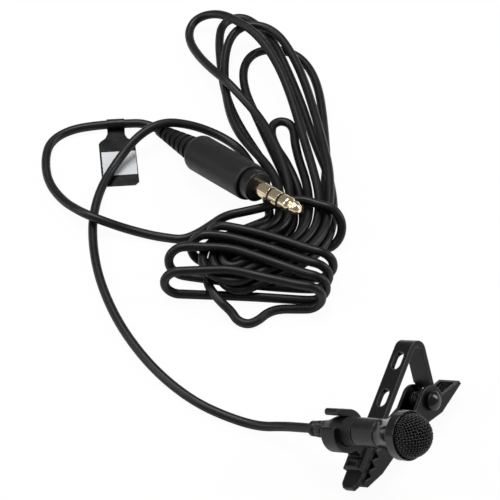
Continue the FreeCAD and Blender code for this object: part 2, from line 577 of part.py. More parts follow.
hank += lower_side(0, level(1)) + half_turn(0, 7, level(1), quarters=3)[:-1]
hank += [(2.6, -19.4, 2.4), (7.6, -20.1, level(0) + 0.15)]
for k, ys in enumerate(TOPS):
    right = RIGHT[k]
    below = (-20.2,) * 4 if k == 0 else tuple((a + b) / 2 for a, b in zip(TOPS[k - 1], ys))
    y0, y1 = strand_y(below, right), strand_y(ys, right)
    hank += [(right - 1.3, strand_y(below, right - 1.3), level(0)), (right, y0, level(0))]
    hank += end_bend(right, 1, y0, y1, True)
    hank += [(right, y1, level(3)), (right - 1.3, strand_y(ys, right - 1.3), level(3))]
    if k == 4:
        hank += [(10.0, -1.2, level(3)), (4.0, 2.2, level(3)), (-1.2, 3.8, level(3))]
        break
    left = LEFT[k]
    xs = [x for x in (8.0, 2.0, -4.0, -10.0) if x > left + 3]
    hank += [(x, strand_y(ys, x), level(3)) for x in xs]
    after = tuple((a + b) / 2 for a, b in zip(ys, TOPS[k + 1]))
    y0, y1 = strand_y(ys, left), strand_y(after, left)
    hank += [(left + 1.3, strand_y(ys, left + 1.3), level(3)), (left, y0, level(3))]
    hank += end_bend(left, -1, y0, y1, False)
    hank += [(left, y1, level(0)), (left + 1.3, strand_y(after, left + 1.3), level(0))]
    hank += [(x, strand_y(after, x), level(0)) for x in xs[::-1]]
hank += [(-5.4, 4.3, 6.9), (-8.4, 4.0, 4.1), (-11.2, 3.0, 2.1)]
# End of the hank's points

nodes = [ENTRY] + [world(*p) for p in hank] + [EXIT]
ways = directions(nodes, ENTRY_DIR, EXIT_DIR)
pieces = []
for k in range(len(nodes) - 1):
    pieces += biarc(nodes[k], ways[k], nodes[k + 1], ways[k + 1])

# Length, least radius and least gap of the tube to itself, measured on points about 0.4 apart
samples = []
run = 0.0
least_radius = 1e9
for piece in pieces:
    a, via, b = piece[0], piece[1], piece[2]
    if via is None:
        length = (b - a).Length
        curve = None
    else:
        radius = piece[3]
        least_radius = min(least_radius, radius)
        curve = Part.Arc(a, via, b)
        length = curve.length()
    count = max(1, int(math.ceil(length / 0.4)))
    for k in range(count):
        t = k / float(count)
        if curve is None:
            p = a + (b - a) * t
        else:
            p = curve.value(curve.FirstParameter + (curve.LastParameter - curve.FirstParameter) * t)
        samples.append((p.x, p.y, p.z, run + length * t))
    run += length
hank_length = run
cells = {}
for k, (x, y, z, s) in enumerate(samples):
    cells.setdefault((int(x // 3), int(y // 3), int(z // 3)), []).append(k)
least = 1e9
where = None
for k, (x, y, z, s) in enumerate(samples):
    cx, cy, cz = int(x // 3), int(y // 3), int(z // 3)
    for i in (-1, 0, 1):
        for j in (-1, 0, 1):
            for m in (-1, 0, 1):
                for q in cells.get((cx + i, cy + j, cz + m), ()):
                    if q > k and samples[q][3] - s > 6.5:
                        o = samples[q]
                        d = math.sqrt((o[0] - x) ** 2 + (o[1] - y) ** 2 + (o[2] - z) ** 2)
                        if d < least:
                            least, where = d, (x + TABLE.x, y + TABLE.y, z, o[0] + TABLE.x, o[1] + TABLE.y, o[2])
print("hank: %d points, length %.1f, least radius %.2f, least gap to itself %.3f at %s" % (
    len(nodes), hank_length, least_radius, least - 2 * CORD_R, " ".join("%.1f" % v for v in where)))
print("cord in all: %.0f" % (mic_length + hank_length + plug_length))
hank_tube = pipe([arc_edge(p) for p in pieces], CORD_R, nodes[0], ways[0])
print("hank tube: volume ratio %.4f, bottom %.2f" % (
    hank_tube.Volume / (math.pi * CORD_R ** 2 * hank_length), hank_tube.BoundBox.ZMin))
save("cord_hank", hank_tube)
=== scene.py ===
# %% [markdown]
# # A clip-on microphone with its cord and plug
# The solids of this part come from a CAD model, which is loaded as a fixed frame. This lesson gives them
# their looks. It starts with the camera and the cord, then makes the woven grille, the turned shells and
# the spring, and ends with the finishes and the lights. Lengths are written in millimetres and become
# metres through MM. The camera's clipping, the cord's stated length, the table and the lamps are the only
# ones that are written in metres.

# %% The frame
import math
import bpy
import numpy as np
from mathutils import Matrix, Vector


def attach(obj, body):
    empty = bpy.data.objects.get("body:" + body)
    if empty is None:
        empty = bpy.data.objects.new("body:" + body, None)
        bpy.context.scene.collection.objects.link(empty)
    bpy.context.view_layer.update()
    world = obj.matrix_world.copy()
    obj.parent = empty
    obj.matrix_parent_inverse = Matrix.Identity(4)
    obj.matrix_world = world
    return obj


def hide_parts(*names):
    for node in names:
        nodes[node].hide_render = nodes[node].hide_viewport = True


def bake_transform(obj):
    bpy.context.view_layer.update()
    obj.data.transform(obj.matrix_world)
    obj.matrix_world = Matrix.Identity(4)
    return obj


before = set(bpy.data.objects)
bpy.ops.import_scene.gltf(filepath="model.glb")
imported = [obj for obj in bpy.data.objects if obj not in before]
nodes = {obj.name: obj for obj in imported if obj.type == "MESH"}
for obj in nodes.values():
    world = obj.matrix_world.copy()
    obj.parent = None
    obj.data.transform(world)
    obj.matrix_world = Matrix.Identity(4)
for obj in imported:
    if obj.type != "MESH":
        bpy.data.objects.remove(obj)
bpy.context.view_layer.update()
MM = 0.001
scene = bpy.context.scene

# %% [markdown]
# ## The camera
# The photograph looks down at 47 degrees from far away, so a long lens keeps the microphone and the far
# end of the cord at nearly the same scale. The picture's middle falls on a point of the table, and the
# routes of the cord are easiest to read from that point, so it is the zero of every route below.

# %% The camera
TABLE = np.array([27.56, -56.74, 0.0])
ELEVATION = math.radians(47.0)
DISTANCE = 620.0

eye = np.array([0.0, -math.cos(ELEVATION), math.sin(ELEVATION)]) * DISTANCE - TABLE
lens = bpy.data.cameras.new("camera")
lens.lens = 205.3
lens.sensor_width = 36.0
lens.clip_start = 0.01
lens.clip_end = 10.0
camera = bpy.data.objects.new("camera", lens)
camera.location = Vector(eye * MM)
camera.rotation_euler = (math.pi / 2 - ELEVATION, 0.0, 0.0)
scene.collection.objects.link(camera)
scene.camera = camera
scene.view_settings.view_transform = "Standard"
print("camera at", [round(v, 4) for v in camera.location])

# %% [markdown]
# ## The places of the clip, the microphone and the plug
# The clip leans on the table, so it has a frame of its own: x along the microphone, y along the arm
# towards its arch, z out of the arm. The microphone shares that direction, and the plug has its own.
# A point is turned into the part's frame with one matrix product for a whole array of points.

# %% Places
def turn(axis, degrees):
    """Rotation matrix about one axis."""
    return np.array(Matrix.Rotation(math.radians(degrees), 3, axis))


PIVOT = np.array([7.67, 10.18, 4.78])
CLIP_TURN = turn("Z", -35.8) @ turn("Y", -31.5) @ turn("X", 24.4)
MIC = PIVOT + CLIP_TURN @ np.array([0.0, -15.9, 17.7])
PLUG_AT = np.array([-11.9, 25.4, 4.95]) - TABLE
PLUG_DIR = np.array([0.62, -0.745, 0.25]) / np.linalg.norm([0.62, -0.745, 0.25])
PLUG_TURN = turn("Z", math.degrees(math.atan2(PLUG_DIR[1], PLUG_DIR[0]))) @ turn(
    "Y", -math.degrees(math.asin(PLUG_DIR[2])))


def place(points, at, turned):
    """Points of a local frame, in millimetres, as metres in the part's frame: at + turned @ point."""
    return (np.asarray(points, float) @ turned.T + at) * MM


def on_table(points):
    """Route points, from the table's zero, as metres in the part's frame."""
    return (np.asarray(points, float) - TABLE) * MM


BOOT_BACK, RELIEF_BACK = 8.3, 13.7
MIC_END = MIC + CLIP_TURN @ np.array([-BOOT_BACK, 0.0, 0.0])
RELIEF_END = PLUG_AT - RELIEF_BACK * PLUG_DIR
print("the cord runs from", MIC_END.round(2), "to", RELIEF_END.round(2))

# %% [markdown]
# ## The cord
# The real cord is a soft round cable, 2 mm thick and about a metre and a half long. Most of it is gathered
# into a hank with long loops at one end and turns wound round the other end. A NURBS curve of order 3
# is the right tool: a few control points make a bend, it stays smooth, and its bevel gives the round
# section. First come the two free runs, each a list of control points (x, y, height) over the table.

# %% The free runs
CORD_R = 1.0
MIC_LEAD, PLUG_LEAD = 3.2, 1.8
mic_out = CLIP_TURN @ np.array([-1.0, 0.0, 0.0])
mic_run = [MIC_END + TABLE, MIC_END + TABLE + MIC_LEAD * mic_out]
mic_run += [
    (6.8, -53.0, 4.2), (1.8, -51.0, 1.6), (-4.6, -48.0, 1.05), (-11.2, -44.1, 1.05), (-17.8, -37.8, 1.05),
    (-23.4, -30.2, 1.05), (-28.2, -21.4, 1.05), (-31.9, -11.4, 1.05), (-33.9, -2.0, 1.05),
    (-34.6, 8.0, 1.05), (-33.2, 17.0, 1.5), (-29.9, 24.8, 1.8), (-25.2, 30.8, 4.5), (-19.6, 34.6, 5.2),
    (-13.2, 35.2, 3.6), (-7.4, 33.8, 2.0), (-3.2, 30.8, 1.4), (-1.2, 27.4, 1.75)]
plug_run = [
    (-14.6, 2.05, 1.05), (-18.0, 2.6, 1.05), (-21.6, 3.4, 1.05), (-27.0, 4.7, 1.7), (-32.9, 5.7, 3.6),
    (-37.4, 8.3, 3.6), (-41.4, 13.4, 1.7), (-44.8, 19.6, 1.05), (-45.85, 26.4, 1.05), (-45.0, 32.4, 1.05),
    (-40.6, 36.2, 1.05), (-34.2, 37.465, 1.25), (-26.4, 38.05, 1.25), (-24.2, 38.0, 1.2)]
plug_run += [RELIEF_END + TABLE - PLUG_LEAD * PLUG_DIR, RELIEF_END + TABLE]
print("free runs of", len(mic_run), "and", len(plug_run), "points")

# %% [markdown]
# ## The hank's lower end
# The strands lie side by side in slots, a little more than a cord apart, in layers on top of each other.
# From the waist they follow a spine that bends to the left, and each pair of slots is joined by a half
# turn at the spine's end. A slot's line is an offset of the spine, so one short formula gives them all.
# The curve passes through the middle of each control edge, so a half circle is given by the corners of
# half an octagon round it.
# The upper layer lies in the grooves of the one below, so its slots are half a slot further left.

# %% The lower end's formulas
WAIST_X, WAIST_Y = 12.9, 6.5
SLOT, LAYER = 2.15, 2.15
SPINE_R, SPINE_TURN, SPINE_RUN = 12.0, 60.0, 11.0
BEND = SPINE_R * math.radians(SPINE_TURN)
SPINE_END = BEND + SPINE_RUN
STEPS = [0.0, BEND / 3, 2 * BEND / 3, BEND, BEND + SPINE_RUN / 2, SPINE_END - 1.2]
CORNERS = 4
OCTAGON = math.cos(math.pi / 8)


def level(n):
    """Height of the cord's middle on layer n."""
    return 1.05 + LAYER * n


def slot_offset(n):
    """Offset of slot n from the spine, towards +x at the waist."""
    return (n - 2.5) * SLOT


def spine(s, d):
    """Place at length s along the spine, d to its left: an arc, then a straight run along its tangent."""
    cx, cy = WAIST_X - SPINE_R, WAIST_Y
    a = min(s / SPINE_R, math.radians(SPINE_TURN))
    beyond = max(0.0, s - BEND)
    x = cx + (SPINE_R + d) * math.cos(a) - beyond * math.sin(a)
    y = cy - (SPINE_R + d) * math.sin(a) - beyond * math.cos(a)
    return (x, y)


def lower_side(slot, z, rise=0.0):
    """Down one slot of the lower end, from the waist, there lower by rise, to its half turn."""
    last = len(STEPS) - 1
    return [spine(s, slot_offset(slot)) + (z - rise * (1 - k / last),) for k, s in enumerate(STEPS)]


def half_turn(down, up, z, corners=CORNERS):
    """The first corners of half an octagon round the half circle that joins two slots at the end."""
    mid = spine(SPINE_END, (slot_offset(down) + slot_offset(up)) / 2)
    head = math.radians(-90.0 - SPINE_TURN)
    side = 1 if up > down else -1
    r = abs(up - down) * SLOT / 2 / OCTAGON
    out = []
    for k in range(corners):
        a = head + side * (math.pi * (k + 0.5) / CORNERS - math.pi / 2)
        out.append((mid[0] + r * math.cos(a), mid[1] + r * math.sin(a), z))
    return out


def lower_loop(down, up, layer, rise=0.0):
    """Down one slot, round the half turn at the spine's end, and up another slot."""
    z = level(layer)
    down, up = down - 0.5 * (layer - 1), up - 0.5 * (layer - 1)
    return lower_side(down, z, rise) + half_turn(down, up, z) + lower_side(up, z)[::-1]


# %% [markdown]
# ## The long loops
# Five long loops stand out of the waist, each a list of control points with their heights. Each goes up
# on the right, turns round its tip and comes down on the left, and none has the size of another, as in
# any cord that was folded by hand. Where two cross, their heights differ by a cord's thickness, and where
# little lies below, a loop sinks towards the table.

# %% The long loops
hank = [(0.8, 22.2, 2.6), (2.4, 17.0, 3.4), (3.8, 11.5, 4.2)]
hank += lower_loop(-1, 5, 2, rise=1.1)
hank += [
    (17.6, 13.0, 5.5), (17.4, 19.9, 5.6), (16.4, 26.7, 5.2), (15.3, 33.7, 4.9), (14.1, 40.1, 4.7),
    (12.6, 47.3, 4.7), (10.6, 54.3, 4.9), (8.0, 60.7, 5.2), (5.4, 64.4, 5.3), (2.4, 66.4, 5.2),
    (-0.8, 66.7, 5.0), (-3.6, 64.9, 4.6), (-5.3, 60.9, 4.0), (-5.9, 55.3, 3.4), (-5.8, 49.3, 3.2),
    (-5.2, 43.4, 3.2), (-4.2, 37.6, 3.2), (-2.4, 32.6, 3.3), (0.0, 28.3, 3.5), (2.6, 24.0, 3.9),
    (4.8, 19.5, 4.6), (6.6, 13.5, 5.2)]
hank += lower_loop(0, 4, 2)
hank += [
    (15.1, 12.0, 5.4), (14.0, 18.5, 5.6), (12.8, 24.7, 5.5), (11.6, 30.6, 5.6), (10.3, 36.8, 5.9),
    (8.9, 42.9, 6.3), (7.1, 49.2, 6.8), (4.4, 56.0, 7.2), (1.1, 61.6, 7.4), (-2.5, 65.5, 7.1),
    (-6.2, 69.4, 5.9), (-9.7, 71.4, 4.2), (-12.8, 71.0, 2.8), (-14.3, 68.2, 1.9), (-13.9, 64.0, 1.8),
    (-11.8, 58.6, 2.7), (-8.9, 52.8, 4.3), (-5.9, 48.2, 5.5), (-2.5, 43.6, 5.1), (0.9, 38.7, 4.6),
    (3.5, 33.0, 5.1), (5.6, 27.2, 5.4), (7.2, 21.6, 5.5), (8.7, 14.0, 5.4)]
hank += lower_loop(1, 3, 2)
hank += [
    (12.8, 13.0, 4.5), (12.1, 18.5, 3.9), (10.9, 24.0, 3.4), (10.0, 29.8, 3.3), (9.9, 33.6, 3.3),
    (8.8, 36.1, 3.3), (6.6, 36.7, 3.3), (4.9, 35.2, 3.3), (4.8, 32.0, 3.3), (5.9, 28.0, 3.3),
    (7.8, 24.0, 3.5), (9.4, 19.5, 3.5), (10.8, 15.0, 3.2)]
hank += lower_loop(2, 4, 1)
hank += [
    (16.1, 13.0, 2.5), (16.6, 19.0, 1.2), (17.1, 25.6, 1.1), (16.9, 33.2, 1.1), (16.5, 40.9, 1.1),
    (15.9, 48.1, 1.1), (14.5, 54.4, 1.1), (12.2, 59.1, 1.1), (9.4, 61.6, 1.1), (6.3, 62.6, 1.1),
    (3.0, 62.4, 1.1), (0.2, 60.6, 1.1), (-1.4, 57.0, 1.1), (-1.6, 52.4, 1.1), (-0.7, 47.0, 1.1),
    (1.3, 40.9, 1.1), (3.3, 34.5, 1.1), (5.4, 28.1, 1.2), (7.4, 21.2, 1.9), (9.2, 13.0, 3.1)]
hank += lower_loop(1, 5, 1)
hank += [
    (18.2, 13.0, 3.4), (17.3, 19.5, 3.5), (15.3, 26.7, 3.3), (13.6, 33.7, 3.2), (12.1, 40.5, 3.2),
    (10.4, 47.0, 3.2), (8.4, 54.0, 3.2), (6.4, 60.3, 3.4), (4.0, 66.1, 2.9), (1.5, 70.4, 1.8),
    (-1.2, 73.1, 1.5), (-4.4, 73.1, 1.3), (-6.7, 70.6, 1.1), (-7.2, 65.6, 1.1), (-6.9, 59.3, 1.1),
    (-6.3, 52.6, 1.1), (-5.2, 46.0, 1.1), (-3.4, 40.0, 1.1), (-1.1, 34.3, 1.1), (1.5, 28.6, 1.3),
    (3.8, 23.4, 1.8), (5.8, 18.0, 2.6), (7.0, 12.5, 3.1)]
print("long loops:", len(hank), "points")

# %% [markdown]
# ## The turns round the lower end
# The last stretch of cord is wound five times round the loops' lower end: over the top on one layer, down
# round the side on edge, and back along the table. Each turn has its own slant, given by the y of its top
# strand and of its return at four places, and its own reach to the left and right. The first return is the
# strand that comes in from a small stray loop, and the last turn lies apart from the others, over the
# waist, from where the cord runs to the plug.

# %% The turns round the lower end
TURN_X = (-12.0, -4.0, 4.0, 12.0)
TOPS = ((-13.0, -12.6, -15.2, -17.5), (-6.0, -6.4, -10.0, -13.9), (-1.8, -3.2, -6.2, -10.1),
        (0.8, -0.2, -2.5, -6.3), (4.8, 5.0, 5.8, 6.2))
RETURNS = ((-18.2, -18.2, -18.2, -18.2), (-14.0, -14.4, -14.9, -15.7), (-9.0, -10.5, -11.8, -12.4),
           (-4.2, -5.8, -7.4, -9.0), (2.8, 2.4, 1.65, -0.05))
LEFT = (-15.0, -14.2, -9.4, -5.3)
RIGHT = (12.0, 13.0, 13.6, 14.6, 16.7)
LOW, HIGH = level(0), level(3)
TURN_R = (HIGH - LOW) / 2
BEND_LEAD = 1.3
BETWEEN = (8.0, 2.0, -4.0, -10.0)
CLEAR = 3.0


def strand_y(ys, x):
    """y of a strand at x, straight between the four places and beyond them."""
    k = 0 if x < TURN_X[1] else 1 if x < TURN_X[2] else 2
    t = (x - TURN_X[k]) / (TURN_X[k + 1] - TURN_X[k])
    return ys[k] + t * (ys[k + 1] - ys[k])


def end_bend(x, side, y0, y1, rising):
    """Half octagon on edge at x, bulging to this side, from y0 to y1, rising or else falling."""
    out = []
    corner_r = TURN_R / OCTAGON
    for k in range(CORNERS):
        t = (k + 0.5) / CORNERS
        height = corner_r * math.cos(math.pi * t)
        z = LOW + TURN_R + (-height if rising else height)
        out.append((x + side * corner_r * math.sin(math.pi * t), y0 + (y1 - y0) * t, z))
    return out


def up_on_the_right(lower, upper, x):
    """From a return on the table round the right side to a top strand."""
    lead = x - BEND_LEAD
    out = [(lead, strand_y(lower, lead), LOW)]
    out += end_bend(x, 1, strand_y(lower, x), strand_y(upper, x), rising=True)
    return out + [(lead, strand_y(upper, lead), HIGH)]


def down_on_the_left(upper, lower, x):
    """From a top strand round the left side to the next return on the table."""
    lead = x + BEND_LEAD
    out = [(lead, strand_y(upper, lead), HIGH)]
    out += end_bend(x, -1, strand_y(upper, x), strand_y(lower, x), rising=False)
    return out + [(lead, strand_y(lower, lead), LOW)]


hank += lower_side(0, level(1)) + half_turn(0, 7, level(1), corners=3)
hank += [
    (-4.0, -19.6, 2.0), (-2.7, -21.6, 1.15), (-0.4, -22.6, 1.05), (1.8, -21.4, 1.05), (3.6, -19.3, 1.05),
    (6.2, -18.1, 1.05)]
for k, left in enumerate(LEFT):
    top, back = TOPS[k], RETURNS[k + 1]
    between = [x for x in BETWEEN if x > left + CLEAR]
    hank += up_on_the_right(RETURNS[k], top, RIGHT[k])
    hank += [(x, strand_y(top, x), HIGH) for x in between]
    hank += down_on_the_left(top, back, left)
    hank += [(x, strand_y(back, x), LOW) for x in between[::-1]]
hank += up_on_the_right(RETURNS[-1], TOPS[-1], RIGHT[-1])
hank += [
    (11.5, 8.0, 7.6), (7.5, 7.5, 7.6), (3.5, 5.8, 7.5), (-1.0, 4.6, 7.3), (-5.4, 4.2, 6.4),
    (-8.4, 3.8, 3.9), (-11.2, 3.0, 2.1)]
print("the whole hank:", len(hank), "points")

# %% [markdown]
# ## One curve for the whole cord
# Both runs and the hank become the control points of a single open spline. The order and the end rule
# are set after the points are there, because a spline with too few points would lower its order.

# %% The cord's curve
def cord_curve(name, points, radius):
    """An open NURBS spline of order 3 through its two end points, with a round bevel.

    The bevel is 1 deep and each point holds the cord's own radius, so the curve's box is the cord's box.
    """
    data = bpy.data.curves.new(name, "CURVE")
    data.dimensions = "3D"
    spline = data.splines.new("NURBS")
    spline.points.add(len(points) - 1)
    weights = np.ones((len(points), 1))
    spline.points.foreach_set("co", np.hstack([points, weights]).ravel())
    spline.points.foreach_set("radius", np.full(len(points), radius * MM))
    spline.order_u = 3
    spline.use_endpoint_u = True
    spline.resolution_u = 7
    data.bevel_depth = 1.0
    data.bevel_resolution = 5
    data.use_fill_caps = True
    made = bpy.data.objects.new(name, data)
    scene.collection.objects.link(made)
    return made


cord = cord_curve("cord", on_table(mic_run + hank + plug_run), CORD_R)
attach(cord, "clip")
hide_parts("cord_mic_side", "cord_hank", "cord_plug_side")

# %% [markdown]
# ## The woven grille
# The head's dome is a piece of woven wire, pressed into a half ball with a straight skirt. Two families of
# wires cross at right angles, and each wire goes over one neighbour and under the next. A flat weave is
# laid on the dome like a map: the distance from the pole is kept as a length along the surface.

# %% The woven grille
GRILLE_X, GRILLE_R = 18.5, 4.5
PITCH, WIRE, WAVE = 0.6, 0.12, 0.11
SKIRT = 1.0
GRID_TURN = math.radians(40.0)


def on_dome(u, v, radius):
    """Place and outward normal of the flat point (u, v) on the dome and its skirt.

    rho = sqrt(u*u + v*v) is the length from the pole. Up to a quarter circle the place is at the angle
    rho / radius from the axis, and past it the surface runs straight back along the axis.
    """
    rho = np.hypot(u, v)
    rim = radius * math.pi / 2
    angle = np.minimum(rho / radius, math.pi / 2)
    back = np.maximum(rho - rim, 0.0)
    cy, cz = u / np.maximum(rho, 1e-9), v / np.maximum(rho, 1e-9)
    normal = np.stack([np.cos(angle), np.sin(angle) * cy, np.sin(angle) * cz], -1)
    spot = normal * radius
    spot[..., 0] += GRILLE_X - back
    return spot, normal


def wire_mesh(family, sides=6, steps=128):
    """All wires of one family as one array of rings: line + WIRE * (cos b * up + sin b * side)."""
    radius = GRILLE_R - WIRE - WAVE
    reach = radius * math.pi / 2 + SKIRT
    count = int(reach / PITCH)
    index = np.arange(-count, count + 1)
    across = (index * PITCH)[:, None]
    half = np.sqrt(np.maximum(reach ** 2 - across ** 2, 0.0))
    along = np.linspace(-1.0, 1.0, steps + 1)[None, :] * half
    across = np.broadcast_to(across, along.shape)
    flat = (across, along) if family == 0 else (along, across)
    c, s = math.cos(GRID_TURN), math.sin(GRID_TURN)
    spot, normal = on_dome(c * flat[0] - s * flat[1], s * flat[0] + c * flat[1], radius)
    wave = WAVE * np.cos(math.pi * (along / PITCH + index[:, None] + family))
    line = spot + normal * wave[..., None]
    ahead = np.gradient(line, axis=1)
    ahead /= np.linalg.norm(ahead, axis=-1, keepdims=True)
    side = np.cross(ahead, normal)
    side /= np.linalg.norm(side, axis=-1, keepdims=True)
    up = np.cross(side, ahead)
    b = np.arange(sides) * 2 * math.pi / sides
    section = np.cos(b)[:, None] * up[:, :, None] + np.sin(b)[:, None] * side[:, :, None]
    return line[:, :, None] + WIRE * section


def tube_faces(tubes, rings, sides, start=0):
    """Quads between neighbouring rings, and one flat face as a cap at both ends of each tube."""
    t, r, s = np.meshgrid(np.arange(tubes), np.arange(rings - 1), np.arange(sides), indexing="ij")
    base = start + t * rings * sides
    a = base + r * sides + s
    b = base + r * sides + (s + 1) % sides
    quads = np.stack([a, b, b + sides, a + sides], -1).reshape(-1, 4)
    first = start + np.arange(tubes)[:, None] * rings * sides + np.arange(sides)[::-1]
    last = start + np.arange(tubes)[:, None] * rings * sides + (rings - 1) * sides + np.arange(sides)
    return quads.tolist() + first.tolist() + last.tolist()


def new_piece(name, points, faces, smooth=True):
    """A mesh object at the origin from points in metres."""
    mesh = bpy.data.meshes.new(name)
    mesh.from_pydata(np.asarray(points).reshape(-1, 3).tolist(), [], faces)
    mesh.validate()
    mesh.polygons.foreach_set("use_smooth", np.full(len(mesh.polygons), smooth))
    mesh.update()
    made = bpy.data.objects.new(name, mesh)
    scene.collection.objects.link(made)
    return made


families = [wire_mesh(0), wire_mesh(1)]
weave_points = np.concatenate([place(f.reshape(-1, 3), MIC, CLIP_TURN) for f in families])
wires, rings, sides = families[0].shape[:3]
weave_faces = tube_faces(wires, rings, sides)
weave_faces += tube_faces(wires, rings, sides, start=wires * rings * sides)
grille = new_piece("grille_weave", weave_points, weave_faces)
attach(grille, "mic")
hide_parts("grille_dome")
print("the weave:", 2 * wires, "wires,", len(weave_faces), "faces")

# %% [markdown]
# ## Turned shells
# The boot, the barrel, the head and the plug are all turned forms. A lathe needs only an outline of
# places (x, r): each one becomes a ring (x, r cos a, r sin a). Real edges are never sharp, and it is
# their small rounding that catches the light, so the outline's corners are eased before it is turned.

# %% A lathe for turned shells
STRAIGHT = -0.985
CUT_SHARE, SUPPORT = 0.32, 0.25


def eased(outline, radius):
    """Each corner of the outline becomes a small arc of this radius, cut to fit its two sides.

    The arc is a quadratic curve from one cut point through the corner's pull to the other, with a
    support point on each side that keeps the flats flat. A corner that is nearly straight stays as it is,
    and no cut takes more than CUT_SHARE of a side.
    """
    p = np.asarray(outline, float)
    out = []
    n = len(p)
    for k in range(n):
        a, b, c = p[k - 1] - p[k], p[k], p[(k + 1) % n] - p[k]
        la, lc = np.linalg.norm(a), np.linalg.norm(c)
        on_axis = b[1] < 1e-6
        cosine = float(a @ c) / (la * lc)
        if on_axis or cosine < STRAIGHT:
            out.append(b[None])
            continue
        cut = min(radius, CUT_SHARE * la, CUT_SHARE * lc)
        t = np.array([0.0, 0.25, 0.5, 0.75, 1.0])[:, None]
        start, end = b + a / la * cut, b + c / lc * cut
        arc = (1 - t) ** 2 * start + 2 * t * (1 - t) * b + t ** 2 * end
        before, after = start + a / la * SUPPORT * cut, end + c / lc * SUPPORT * cut
        out.append(np.vstack([before, arc, after]))
    return np.vstack(out)


def lathe(name, outline, at, turned, ease=0.12, segments=96, dents=None):
    """A closed outline of (x, r) turned about the x axis; a point at r = 0 becomes one pole.

    dents, if given, is a function of the arrays (x, r, a) that returns the radius after local cuts.
    """
    p = eased(outline, ease)
    polar = np.arange(segments) * 2 * math.pi / segments
    is_pole = p[:, 1] < 1e-6
    index = np.zeros((len(p), segments), int)
    points = []
    for k in range(len(p)):
        if is_pole[k]:
            index[k] = len(points)
            points.append([p[k, 0], 0.0, 0.0])
            continue
        x = np.full(segments, p[k, 0])
        r = np.full(segments, p[k, 1])
        if dents is not None:
            r = dents(x, r, polar)
        index[k] = len(points) + np.arange(segments)
        points += np.stack([x, r * np.cos(polar), r * np.sin(polar)], 1).tolist()
    faces = []
    for k in range(len(p)):
        j = (k + 1) % len(p)
        if is_pole[k] and is_pole[j]:
            continue
        a, b = index[k], index[j]
        an, bn = np.roll(a, -1), np.roll(b, -1)
        if is_pole[k]:
            faces += np.stack([a, b, bn], 1).tolist()
        elif is_pole[j]:
            faces += np.stack([a, b, an], 1).tolist()
        else:
            faces += np.stack([a, b, bn, an], 1).tolist()
    made = new_piece(name, place(points, at, turned), faces)
    outwards(made)
    return made


def outwards(piece):
    """Turns the faces the right way round, as a positive volume."""
    mesh = piece.data
    mesh.calc_loop_triangles()
    co = np.zeros(len(mesh.vertices) * 3)
    mesh.vertices.foreach_get("co", co)
    co = co.reshape(-1, 3)
    tri = np.zeros(len(mesh.loop_triangles) * 3, int)
    mesh.loop_triangles.foreach_get("vertices", tri)
    tri = tri.reshape(-1, 3)
    centre = co.mean(0)
    a, b, c = (co[tri[:, i]] - centre for i in range(3))
    if np.einsum("ij,ij->i", a, np.cross(b, c)).sum() < 0:
        mesh.flip_normals()


# %% [markdown]
# ## The microphone's shells
# The rear boot is a soft tapered sleeve that holds the cord. Three slots cross its tail so that it can
# bend, each open on two opposite sides and a quarter turn from the one before, and four fine grooves
# mark where it is gripped. The barrel is a plain tube. The head flares to a wide rim like the bell of a
# horn, and its polished flank is what reflects the table.

# %% The microphone's shells
BOOT_R = 2.95
BOOT_CUTS, CUT_X, CUT_STEP = 3, -6.9, 1.35
CUT_HALF, CUT_FLOOR = 0.28, 1.3
CUT_OPENS = 0.62
GROOVES, GROOVE_X, GROOVE_STEP, GROOVE_R = 4, 2.6, 0.55, 2.85
SHOULDER_X, SHOULDER_LONG, SHOULDER_RISE = 11.2, 2.0, 0.35
FLANK_X, FLANK_LONG, FLANK_R, FLANK_RISE = 13.2, 3.0, 3.3, 1.4


def boot_cuts(x, r, a):
    """Slots across the boot's tail: on two opposite sides of each the radius drops to its floor."""
    for k in range(BOOT_CUTS):
        middle = CUT_X + CUT_STEP * k
        facing = math.radians(35 + 90 * (k % 2))
        open_side = np.abs(np.sin(a - facing)) > CUT_OPENS
        near = (np.abs(x - middle) < CUT_HALF) & open_side & (r > CUT_FLOOR)
        r = np.where(near, CUT_FLOOR, r)
    return r


def tail_r(x):
    """Radius of the boot's tail: 1.6 at its end, from x = -7.6 on growing by 0.3 over 3.5."""
    return 1.6 + 0.3 * max(0.0, (x + 7.6) / 3.5)


def flare(t):
    """Share of the flank's rise at a share t of its length: nearly straight, a little steeper in front."""
    return 0.82 * t + 0.18 * t * t


tail = []
for k in range(BOOT_CUTS):
    x = CUT_X + CUT_STEP * k
    tail += [(x + d, tail_r(x + d)) for d in (-0.34, -0.24, 0.24, 0.34)]
grooves = []
for k in range(GROOVES):
    x = GROOVE_X + GROOVE_STEP * k
    grooves += [(x - 0.14, BOOT_R), (x - 0.1, GROOVE_R), (x + 0.1, GROOVE_R), (x + 0.14, BOOT_R)]
boot = lathe("boot_shell", [(-BOOT_BACK, 1.02), (-BOOT_BACK, 1.6), (-7.6, 1.6)] + tail + [
    (-3.6, 1.98), (-2.9, 2.2), (-2.3, 2.42), (-1.7, 2.68), (-1.1, 2.88), (-0.5, BOOT_R)] + grooves + [
    (4.85, BOOT_R), (5.0, 2.75), (5.0, 2.4), (3.2, 2.4), (3.2, 1.9), (-0.6, 1.9), (-0.6, 1.02)],
    MIC, CLIP_TURN, ease=0.1, dents=boot_cuts)
barrel = lathe("barrel_shell", [
    (3.2, 1.7), (3.2, 2.4), (5.0, 2.4), (5.0, 2.75), (5.2, BOOT_R), (10.8, BOOT_R), (11.0, 2.75),
    (11.0, 2.45), (12.2, 2.45), (12.2, 1.7)], MIC, CLIP_TURN, ease=0.15)
shoulder = [(SHOULDER_X + SHOULDER_LONG * t, BOOT_R + SHOULDER_RISE * t * t)
            for t in np.linspace(0.0, 1.0, 8)[:-1]]
flank = [(FLANK_X + FLANK_LONG * t, FLANK_R + FLANK_RISE * flare(t)) for t in np.linspace(0.0, 1.0, 9)]
